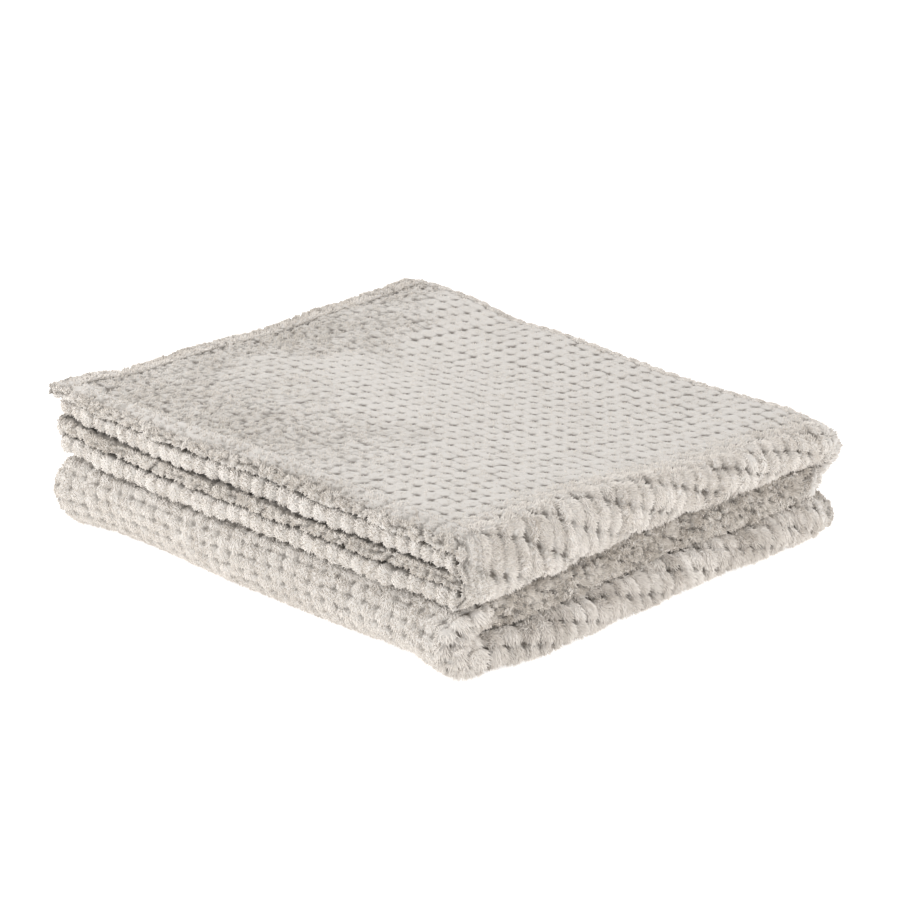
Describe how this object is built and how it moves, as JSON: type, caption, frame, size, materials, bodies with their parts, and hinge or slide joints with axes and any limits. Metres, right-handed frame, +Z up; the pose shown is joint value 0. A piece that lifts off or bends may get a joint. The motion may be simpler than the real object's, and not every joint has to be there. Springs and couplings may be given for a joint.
{
  "type": "folded throw blanket",
  "caption": "Knitted bobble throw blanket folded to a flat rectangular pile: quartered along its length, then in thirds across, with sewn hems at its free edges.",
  "frame": {"origin": "under the middle of the folded pile, on the surface it lies on", "axes": "+Z up; +Y across the strip, from the long folded side to the side hems; +X along the strip, from the top panel's hemmed end to its turned end"},
  "size_m": [0.3924, 0.4335, 0.106],
  "materials": {
    "cloth": "soft chenille pile in small staggered bobbles, pale warm grey, no gloss",
    "cloth_inside": "the same chenille pile seen inside a fold, darker taupe",
    "hem": "turned and sewn edge of the same pile, curly and slightly darker",
    "thread": "matching polyester sewing thread, dull"
  },
  "bodies": {
    "middle_panel": {"middle_ply_1": "cloth", "middle_ply_2": "cloth", "middle_ply_3": "cloth", "middle_ply_4": "cloth", "middle_outer_fold": "cloth", "middle_inner_fold": "cloth_inside", "middle_back_fold": "cloth", "middle_side_hem_1": "hem", "middle_side_hem_2": "hem", "middle_side_stitches_1": "thread", "middle_side_stitches_2": "thread", "lower_turn_ply_1": "cloth", "lower_turn_ply_2": "cloth", "lower_turn_ply_3": "cloth", "lower_turn_ply_4": "cloth", "lower_turn_outer_fold": "cloth", "lower_turn_inner_fold": "cloth_inside", "lower_turn_back_fold": "cloth", "upper_turn_ply_1": "cloth", "upper_turn_ply_2": "cloth", "upper_turn_ply_3": "cloth", "upper_turn_ply_4": "cloth", "upper_turn_outer_fold": "cloth", "upper_turn_inner_fold": "cloth_inside", "upper_turn_back_fold": "cloth"},
    "bottom_panel": {"bottom_ply_1": "cloth", "bottom_ply_2": "cloth", "bottom_ply_3": "cloth", "bottom_ply_4": "cloth", "bottom_outer_fold": "cloth", "bottom_inner_fold": "cloth_inside", "bottom_back_fold": "cloth", "bottom_side_hem_1": "hem", "bottom_side_hem_2": "hem", "bottom_side_stitches_1": "thread", "bottom_side_stitches_2": "thread", "bottom_end_hem": "hem", "bottom_end_stitches": "thread"},
    "top_panel": {"top_ply_1": "cloth", "top_ply_2": "cloth", "top_ply_3": "cloth", "top_ply_4": "cloth", "top_outer_fold": "cloth", "top_inner_fold": "cloth_inside", "top_back_fold": "cloth", "top_side_hem_1": "hem", "top_side_hem_2": "hem", "top_side_stitches_1": "thread", "top_side_stitches_2": "thread", "top_end_hem": "hem", "top_end_stitches": "thread"}
  },
  "joints": [
    {"name": "lower_fold", "type": "hinge", "parent": "middle_panel", "child": "bottom_panel", "pos_m": [-0.18313, 0, 0.02665], "axis": [0, 1, 0], "range_deg": [0, 180], "deforming": ["lower_turn_ply_1", "lower_turn_ply_2", "lower_turn_ply_3", "lower_turn_ply_4", "lower_turn_outer_fold", "lower_turn_inner_fold", "lower_turn_back_fold"]},
    {"name": "upper_fold", "type": "hinge", "parent": "middle_panel", "child": "top_panel", "pos_m": [0.18313, 0, 0.05345], "axis": [0, 1, 0], "range_deg": [0, 180], "deforming": ["upper_turn_ply_1", "upper_turn_ply_2", "upper_turn_ply_3", "upper_turn_ply_4", "upper_turn_outer_fold", "upper_turn_inner_fold", "upper_turn_back_fold"]}
  ]
}
